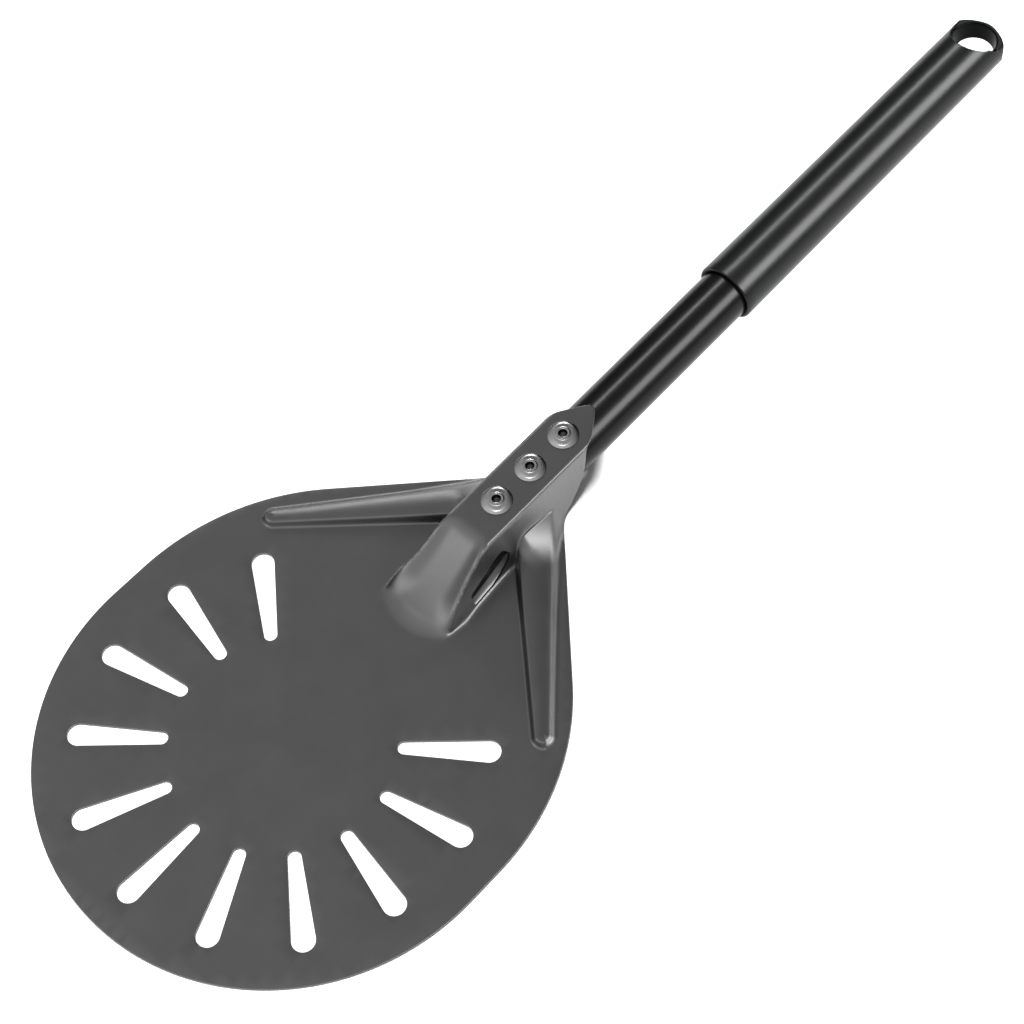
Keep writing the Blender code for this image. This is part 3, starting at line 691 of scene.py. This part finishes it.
def black_grip():
    made = Nodes("moulded_grip")
    made.set(Metallic=0.0)
    made.link(made.ramp(made.noise(45.0, 3.0), grey(0.0010, 0.2), grey(0.0016, 0.2)), "Base Color")
    to_axis = made.add(
        "ShaderNodeMapping",
        {"Vector": made.coordinates, "Location": (0.0, 0.0, AXIS_Z * MM),
         "Rotation": (math.atan(AXIS_SLOPE), 0.0, 0.0), "Scale": (1.0, FLATTEN, 1.0)},
        vector_type="TEXTURE",
    )
    radius = made.add("ShaderNodeVectorMath", {0: to_axis.outputs["Vector"]}, operation="LENGTH")
    skin = made.add(
        "ShaderNodeMapRange",
        {"Value": radius.outputs["Value"], "From Min": MATT_R * MM, "From Max": SKIN_R * MM,
         "To Min": MATT_LEVEL, "To Max": SKIN_LEVEL},
    )
    made.link(skin.outputs["Result"], "Specular IOR Level")
    made.link(made.spread(made.noise(110.0, 4.0), 0.27, 0.33), "Roughness")
    fine = made.noise(1900.0, 3.0)
    made.link(made.bump(fine, 0.12, 0.00003), "Normal")
    return made.material


def rivet_metal():
    made = Nodes("turned_rivet")
    made.set(Metallic=1.0, Anisotropic=0.75)
    rings = made.add(
        "ShaderNodeTexWave",
        {"Vector": made.stretched((1.0, 1.0, 0.0)), "Scale": 900.0, "Distortion": 0.6,
         "Detail": 2.0},
        wave_type="RINGS", rings_direction="Z",
    ).outputs["Fac"]
    made.link(made.ramp(made.noise(300.0, 3.0), grey(0.36), grey(0.44)), "Base Color")
    made.link(made.spread(rings, 0.17, 0.24), "Roughness")
    tangent = made.add("ShaderNodeTangent", direction_type="RADIAL", axis="Z")
    made.link(tangent.outputs["Tangent"], "Tangent")
    return made.material


def broken_steel():
    made = Nodes("broken_pin_steel")
    made.set(Metallic=1.0)
    made.link(made.ramp(made.noise(1400.0, 4.0), grey(0.05), grey(0.12)), "Base Color")
    made.link(made.spread(made.noise(900.0, 3.0), 0.38, 0.6), "Roughness")
    made.link(made.bump(made.noise(1100.0, 4.0), 0.5, 0.0002), "Normal")
    return made.material


# ---- Pieces ------------------------------------------------------------------------------------


TUBE_SEGMENTS, RIVET_SEGMENTS, PIN_SEGMENTS = 96, 72, 32
RIVET_EASE, PIN_EASE = 0.35, 0.2


def make_blade():
    vertices, faces = sheet_mesh()
    mesh = bpy.data.meshes.new("blade_sheet")
    mesh.from_pydata([tuple(v) for v in vertices], [], faces)
    mesh.validate()
    shade(mesh, SHEET_SHARP)
    finish_piece(new_object("blade_sheet", mesh), anodised_metal(), "blade")


def tube_section(along, inset):
    """The tube's section along the axis: round, but pressed to the channel's shape in front."""
    pressed = 1 - float(smoothstep(*PRESS_Y, along))
    angles = np.linspace(0, 2 * math.pi, TUBE_SEGMENTS, endpoint=False)
    x, z = np.sin(angles), np.cos(angles)
    power = 2 / PRESS_POWER
    square_x = np.sign(x) * np.abs(x) ** power * (PRESS_MIDDLE - PRESS_LEAN * z)
    square_z = np.sign(z) * np.abs(z) ** power * PRESS_HALF_HEIGHT + PRESS_SHIFT
    x = TUBE_R * x * (1 - pressed) + square_x * pressed
    z = TUBE_R * z * (1 - pressed) + square_z * pressed
    middle = PRESS_SHIFT * pressed
    keep = 1 - inset / np.hypot(x, z - middle)
    return x * keep, (z - middle) * keep + middle


def tube_wall(made, end, inset, ease):
    """One wall of the tube as rings of vertices, with its first and last ring eased inwards."""
    rings = []
    for share in TUBE_STATIONS:
        along = MITRE_MIDDLE + (end - MITRE_MIDDLE) * share
        slope = MITRE_SLOPE * max(0.0, 1 - share / MITRE_FADE)
        x, z = tube_section(along, inset + (ease if share in (0.0, 1.0) else 0.0))
        ring = []
        for px, pz in zip(x, z):
            ring.append(made.verts.new((px * MM, (along + slope * pz) * MM, pz * MM)))
        rings.append(ring)
    return rings


def make_tube():
    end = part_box("handle_tube")[1].y / MM - TUBE_EASE
    made = bmesh.new()
    outer = tube_wall(made, end, 0.0, TUBE_EASE)
    inner = tube_wall(made, end, TUBE_WALL, -TUBE_EASE)
    for rings in (outer, inner):
        for near, far in zip(rings, rings[1:]):
            close_strip(made, near, far)
    for place in (0, -1):
        close_strip(made, outer[place], inner[place])
    bmesh.ops.recalc_face_normals(made, faces=made.faces)
    made.transform(HANDLE)
    mesh = to_mesh(made, "tube")
    shade(mesh, TURNED_SHARP)
    finish_piece(new_object("tube", mesh), black_tube(), "handle_tube")


def make_rivets():
    """Flange, collar and shank, eased at every corner, and the broken pin in the bore."""
    seat = CHANNEL_TOP + RIVET_SEAT
    body = [
        (2.1, seat + 2.15), (3.25, seat + 2.2), (3.35, seat + 1.6), (3.8, seat + 1.42),
        (5.0, seat + 1.28), (6.2, seat + 0.98), (7.2, seat + 0.5), (7.6, seat + 0.2), (7.4, seat),
        (3.0, seat), (3.0, 11.0), (2.1, 11.0),
    ]
    pin = [
        (0.0, 15.7), (0.9, 15.9), (1.55, 15.5), (1.8, 15.2), (1.8, 8.0), (0.0, 8.0),
    ]
    body = [(r * MM, z * MM) for r, z in rounded(body, RIVET_EASE)]
    pin = [(r * MM, z * MM) for r, z in rounded(pin, PIN_EASE, closed=False)]
    metal, steel = rivet_metal(), broken_steel()
    for number, along in enumerate(RIVETS, 1):
        ring = turned(f"rivet_{number}", body, RIVET_SEGMENTS)
        core = turned(f"rivet_pin_{number}", pin, PIN_SEGMENTS, closed=False)
        for obj, material, slot_name, node in (
            (ring, metal, "bright_metal", f"rivet_body_{number}"),
            (core, steel, "dark_steel", f"rivet_mandrel_{number}"),
        ):
            obj.matrix_world = HANDLE @ Matrix.Translation((0, along * MM, 0))
            finish_piece(obj, material, node)


# The grip, in millimetres along the handle axis and away from it
GRIP_START, GRIP_FRONT_R, GRIP_REAR_R = 307.0, 15.6, 15.05
GRIP_BORE_R, GRIP_BORE_END = 13.35, 466.0
GRIP_JOINT, END_SOLID_START = 458.0, 456.0  # where the turned front meets the end part
GRIP_END_Y, GRIP_END_LENGTH, GRIP_END_POWER = 509.1, 9.5, 1.55
GRIP_PAST = GRIP_END_Y + 1.3 * GRIP_END_LENGTH  # end of the stock that the rounding is cut from
END_CLEAR = 1.001  # the end's outline is this much wider than the stock
TAB_HALF, TOP_CUT, BOTTOM_CUT = 5.7, (501.0, 508.5), (470.0, 486.0)
HANG_Y, HANG_R, HANG_FLARE, HANG_HALF = 506.4, 10.0, 0.12, 40.0
CUT_SIDE, CUT_START, CUT_END, CUT_HALF = 40.0, 400.0, 560.0, 60.0  # how far cutters reach
END_LEAD = 20  # the outline starts to close this far in front of the rounding
END_STEP = math.radians(2)
END_SEGMENTS, GRIP_SEGMENTS, GRIP_ROWS = 128, 160, 30
VOXEL, VOXEL_QUICK = 0.42, 0.8
SMOOTH_FACTOR, SMOOTH_PASSES, SMOOTH_QUICK = 0.5, 8, 3
JOINT_GAP = 0.4
SKIN_REACH = 0.2  # remeshed points this near the turned surface are put back on it


def prism(outline_points, half_depth):
    """The outline raised to both sides of its plane."""
    made = bmesh.new()
    low = [made.verts.new((x, y, -half_depth)) for x, y in outline_points]
    high = [made.verts.new((x, y, half_depth)) for x, y in outline_points]
    made.faces.new(low[::-1])
    made.faces.new(high)
    close_strip(made, low, high)
    bmesh.ops.recalc_face_normals(made, faces=made.faces)
    return to_mesh(made, "cutter")


def boolean(obj, mesh, operation="DIFFERENCE"):
    tool = new_object("tool", mesh)
    modifier = obj.modifiers.new("cut", "BOOLEAN")
    modifier.operation = operation
    modifier.object = tool
    modifier.solver = "EXACT"
    apply_modifiers(obj)
    bpy.data.objects.remove(tool, do_unlink=True)


def apply_modifiers(obj):
    graph = bpy.context.evaluated_depsgraph_get()
    mesh = bpy.data.meshes.new_from_object(obj.evaluated_get(graph))
    obj.modifiers.clear()
    obj.data = mesh


def hanging_hole():
    """A cone whose far side is upright, so that it widens upwards towards the handle only."""
    spread = HANG_FLARE * HANG_HALF
    profile = [
        (0.0, -HANG_HALF), (HANG_R - spread, -HANG_HALF), (HANG_R + spread, HANG_HALF),
        (0.0, HANG_HALF),
    ]
    hole = turned("hole", profile, END_SEGMENTS, closed=False)
    lean = Matrix.Identity(4)
    lean[1][2] = -HANG_FLARE
    hole.data.transform(Matrix.Translation((0, HANG_Y, -TAB_HALF)) @ lean)
    cutter = hole.data.copy()
    bpy.data.objects.remove(hole, do_unlink=True)
    return cutter


def tab_cut(first, last, side_up):
    """The round hollow from the grip's skin at first down to the tab's face at last, and beyond."""
    rise = GRIP_FRONT_R - TAB_HALF
    run = last - first
    radius = (run * run + rise * rise) / (2 * rise)
    turn = math.asin(min(1.0, run / radius))
    hollow = arc(last, TAB_HALF + radius, radius, -math.pi / 2 - turn, -math.pi / 2)
    corners = [(CUT_END, TAB_HALF), (CUT_END, CUT_HALF), (first, CUT_HALF)]
    mesh = prism([tuple(p) for p in hollow] + corners, CUT_HALF)
    mesh.transform(Matrix(((0, 0, 1, 0), (1, 0, 0, 0), (0, side_up, 0, 0), (0, 0, 0, 1))))
    if side_up < 0:
        mesh.flip_normals()
    return mesh


def end_solid():
    """The grip's last stretch: a cylinder with the tab, rounded end and hanging hole cut in."""
    profile = [
        (0.0, GRIP_PAST), (GRIP_REAR_R, GRIP_PAST),
        (grip_radius(END_SOLID_START), END_SOLID_START), (0.0, END_SOLID_START),
    ]
    obj = turned("grip_end", profile, END_SEGMENTS, closed=False)
    obj.data.transform(ALONG_Y)

    shoulder = GRIP_END_Y - END_LEAD
    plan_points = [(CUT_SIDE, CUT_START), (CUT_SIDE, shoulder)]
    for x, y in arc(0, 0, 1, 0, math.pi, END_STEP):
        across = math.copysign(abs(x) ** (2 / GRIP_END_POWER), x)
        along = max(y, 0.0) ** (2 / GRIP_END_POWER)
        plan_points.append(
            (GRIP_REAR_R * END_CLEAR * across, GRIP_END_Y + GRIP_END_LENGTH * along)
        )
    plan_points += [(-CUT_SIDE, shoulder), (-CUT_SIDE, CUT_START)]
    boolean(obj, prism(plan_points, CUT_HALF), "INTERSECT")
    boolean(obj, hanging_hole())
    boolean(obj, tab_cut(*TOP_CUT, 1))
    boolean(obj, tab_cut(*BOTTOM_CUT, -1))
    return obj


def grip_radius(y):
    share = (y - GRIP_START) / (GRIP_PAST - GRIP_START)
    return GRIP_FRONT_R + (GRIP_REAR_R - GRIP_FRONT_R) * share


def make_grip():
    end = end_solid()
    remesh = end.modifiers.new("even", "REMESH")
    remesh.mode = "VOXEL"
    remesh.voxel_size = VOXEL
    ease = end.modifiers.new("ease", "SMOOTH")
    ease.factor = SMOOTH_FACTOR
    ease.iterations = SMOOTH_PASSES
    apply_modifiers(end)

    # The stretch in front is turned, and its last ring is bridged to the end part.
    made = bmesh.new()
    made.from_mesh(end.data)
    bpy.data.objects.remove(end, do_unlink=True)
    bmesh.ops.bisect_plane(
        made, geom=made.verts[:] + made.edges[:] + made.faces[:], dist=1e-5,
        plane_co=(0, GRIP_JOINT + JOINT_GAP, 0), plane_no=(0, 1, 0), clear_inner=True,
    )
    for vert in made.verts:
        radius = grip_radius(vert.co.y)
        length = math.hypot(vert.co.x, vert.co.z)
        if abs(length - radius) < SKIN_REACH:
            vert.co.x *= radius / length
            vert.co.z *= radius / length
    front = [
        (0.0, GRIP_BORE_END), (GRIP_BORE_R, GRIP_BORE_END), (GRIP_BORE_R, GRIP_START + 0.2),
        (13.6, GRIP_START), (14.9, GRIP_START), (15.35, GRIP_START + 0.25),
        (GRIP_FRONT_R, GRIP_START + 1.0),
    ]
    rows = np.linspace(GRIP_START + 6, GRIP_JOINT, GRIP_ROWS)
    body = turned("grip", front + [(grip_radius(y), y) for y in rows], GRIP_SEGMENTS, closed=False)
    body.data.transform(ALONG_Y)
    made.from_mesh(body.data)
    bmesh.ops.bridge_loops(made, edges=[e for e in made.edges if e.is_boundary])
    bmesh.ops.recalc_face_normals(made, faces=made.faces)
    made.transform(HANDLE @ Matrix.Scale(MM, 4))
    made.to_mesh(body.data)
    made.free()
    shade(body.data, GRIP_SHARP)
    finish_piece(body, black_grip(), "grip_sleeve")


# ---- Studio ------------------------------------------------------------------------------------


CENTRE = Vector((0.0, 0.15, 0.02))  # what the lights look at
LIGHT_DISTANCE = 2.0
FLOOR_HALF, FLOOR_DROP = 30.0, 0.0002
WORLD_FRONT, WORLD_BACK, WORLD_REACH = 1.35, 0.02, 0.9  # strength in front and behind
HORIZON, HORIZON_TOP = 0.15, 0.8  # share left at the horizon, and the height where all of it is

# Group lit, name, direction, width and length in metres, radiance
LIGHTS = (
    ("sheet", "sheet_right", (0.742, 0.33, 0.582), 0.60, 3.0, 5.5),
    ("sheet", "sheet_front", (-0.385, -0.80, 0.47), 0.8, 0.8, 1.7),
    ("sheet", "sheet_back", (-0.668, 0.661, 0.338), 0.5, 0.5, 3.0),
    ("sheet", "sheet_left", (-0.78, 0.48, 0.38), 0.4, 1.2, 3.5),
    ("handle", "handle_broad", (0.742, 0.33, 0.582), 0.80, 3.6, 15.0),
    ("handle", "handle_narrow", (-0.385, 0.33, 0.86), 0.22, 3.6, 22.0),
    ("rivets", "rivet_top", (0.05, -0.18, 0.98), 0.28, 0.28, 14.0),
    ("rivets", "rivet_back", (-0.668, 0.661, 0.338), 0.5, 0.5, 10.0),
    ("ground", "ground_top", (-0.12, 0.0, 0.99), 0.5, 0.5, 115.0),
)
GROUPS = {"blade_sheet": "sheet", "tube": "handle", "grip": "handle", "floor": "ground"}

CAMERA_LENS, CAMERA_SENSOR = 77.67, 36.0
CAMERA_PLACE = (0.3989, -0.1897, 0.9007)
CAMERA_RIGHT = (0.73191, 0.67811, -0.06689)
CAMERA_UP = (-0.56228, 0.65649, 0.50286)
CAMERA_BACK = (0.38490, -0.33044, 0.86178)
CAMERA_CLIP = (0.01, 100.0)


def facing(place, right, up, back):
    return Matrix.Translation(place) @ Matrix((right, up, back)).transposed().to_4x4()


def make_floor():
    side = FLOOR_HALF
    mesh = bpy.data.meshes.new("floor")
    corners = [(-side, -side, 0), (side, -side, 0), (side, side, 0), (-side, side, 0)]
    mesh.from_pydata(corners, [], [(0, 1, 2, 3)])
    floor = new_object("floor", mesh)
    floor.location.z = -FLOOR_DROP
    made = Nodes("pale_floor")
    made.set(Roughness=0.9, Specular_IOR_Level=0.1)
    made.link(made.ramp(made.noise(3.0, 2.0), grey(0.50), grey(0.52)), "Base Color")
    mesh.materials.append(made.material)


def make_world():
    """Soft light that fades from front to back, and towards the horizon."""
    world = bpy.data.worlds.new("studio")
    world.use_nodes = True
    tree = world.node_tree
    background = tree.nodes["Background"]
    direction = tree.nodes.new("ShaderNodeTexCoord").outputs["Generated"]
    parts = tree.nodes.new("ShaderNodeSeparateXYZ")
    tree.links.new(direction, parts.inputs["Vector"])
    strength = tree.nodes.new("ShaderNodeMath")
    strength.operation = "MULTIPLY"
    for place, (axis, low, high, at_low, at_high) in enumerate((
        ("Y", -WORLD_REACH, WORLD_REACH, WORLD_FRONT, WORLD_BACK),
        ("Z", 0.0, HORIZON_TOP, HORIZON, 1.0),
    )):
        fade = tree.nodes.new("ShaderNodeMapRange")
        tree.links.new(parts.outputs[axis], fade.inputs["Value"])
        fade.inputs["From Min"].default_value = low
        fade.inputs["From Max"].default_value = high
        fade.inputs["To Min"].default_value = at_low
        fade.inputs["To Max"].default_value = at_high
        tree.links.new(fade.outputs["Result"], strength.inputs[place])
    tree.links.new(strength.outputs["Value"], background.inputs["Strength"])
    background.inputs["Color"].default_value = (1, 1, 1, 1)
    bpy.context.scene.world = world


def soft_light(name, direction, width, length, radiance):
    """A rectangular light whose length runs as near to the handle's direction as it can."""
    back = Vector(direction).normalized()
    across = Vector((0, 1, 0)).cross(back).normalized()
    light = bpy.data.lights.new(name, "AREA")
    light.shape = "RECTANGLE"
    light.size, light.size_y = width, length
    light.energy = radiance * 4 * width * length
    obj = new_object(name, light)
    obj.matrix_world = facing(CENTRE + back * LIGHT_DISTANCE, across, back.cross(across), back)
    return obj


def make_lights():
    """Each group of pieces has its own lights, and only the sheet shades the floor."""
    receivers = {
        name: bpy.data.collections.new(name) for name in ("sheet", "rivets", "handle", "ground")
    }
    for obj in list(bpy.context.scene.objects):
        group = "rivets" if obj.name.startswith("rivet") else GROUPS.get(obj.name)
        if group:
            receivers[group].objects.link(obj)
    for group, name, direction, width, length, radiance in LIGHTS:
        light = soft_light(name, direction, width, length, radiance)
        light.light_linking.receiver_collection = receivers[group]
        if group == "ground":
            light.light_linking.blocker_collection = receivers["sheet"]


def make_camera():
    camera = bpy.data.cameras.new("camera")
    camera.lens, camera.sensor_width = CAMERA_LENS, CAMERA_SENSOR
    camera.clip_start, camera.clip_end = CAMERA_CLIP
    obj = new_object("camera", camera)
    obj.matrix_world = facing(CAMERA_PLACE, CAMERA_RIGHT, CAMERA_UP, CAMERA_BACK)
    bpy.context.scene.camera = obj


bpy.context.scene.view_settings.view_transform = "Standard"
make_camera()
make_floor()
make_blade()
make_tube()
make_rivets()
make_grip()
make_world()
make_lights()
